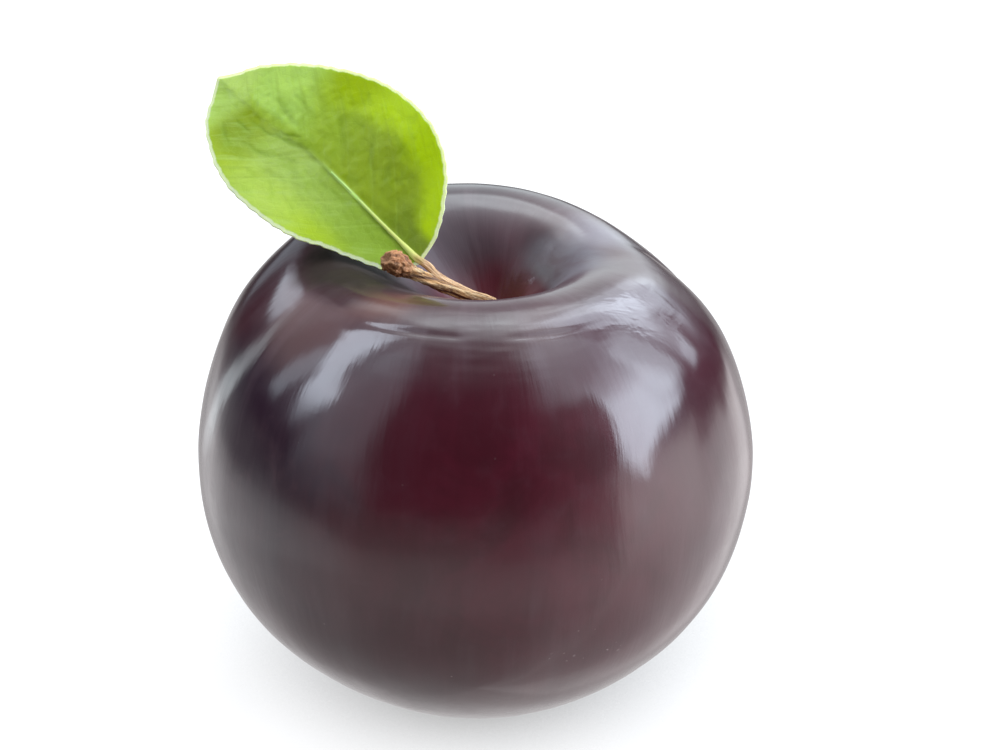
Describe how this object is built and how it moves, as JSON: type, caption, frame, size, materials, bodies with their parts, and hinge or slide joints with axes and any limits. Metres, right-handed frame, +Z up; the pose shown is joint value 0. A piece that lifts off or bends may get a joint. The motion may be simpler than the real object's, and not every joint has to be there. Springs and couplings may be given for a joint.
{
  "type": "plum",
  "caption": "Whole round dark plum with a stalk cavity, its bent stalk and a green leaf, standing on a small flat spot.",
  "frame": {"origin": "centre of the bottom of the whole part, in the plane of the flat spot that the plum rests on", "axes": "+Z up from the flat spot to the stalk cavity; +X to the lower shoulder, where the suture crosses; the leaf rises towards -X"},
  "size_m": [0.0652, 0.0652, 0.075],
  "materials": {
    "skin": "glossy waxy fruit skin, near black purple with wine red areas, fine pale dots",
    "bark": "dry, ribbed brown bark",
    "leaf_green": "satin fresh leaf, pale margin and midrib, slightly translucent"
  },
  "bodies": {
    "root": {"plum_fruit": "skin", "stalk": "bark", "leaf": "leaf_green"}
  },
  "joints": []
}
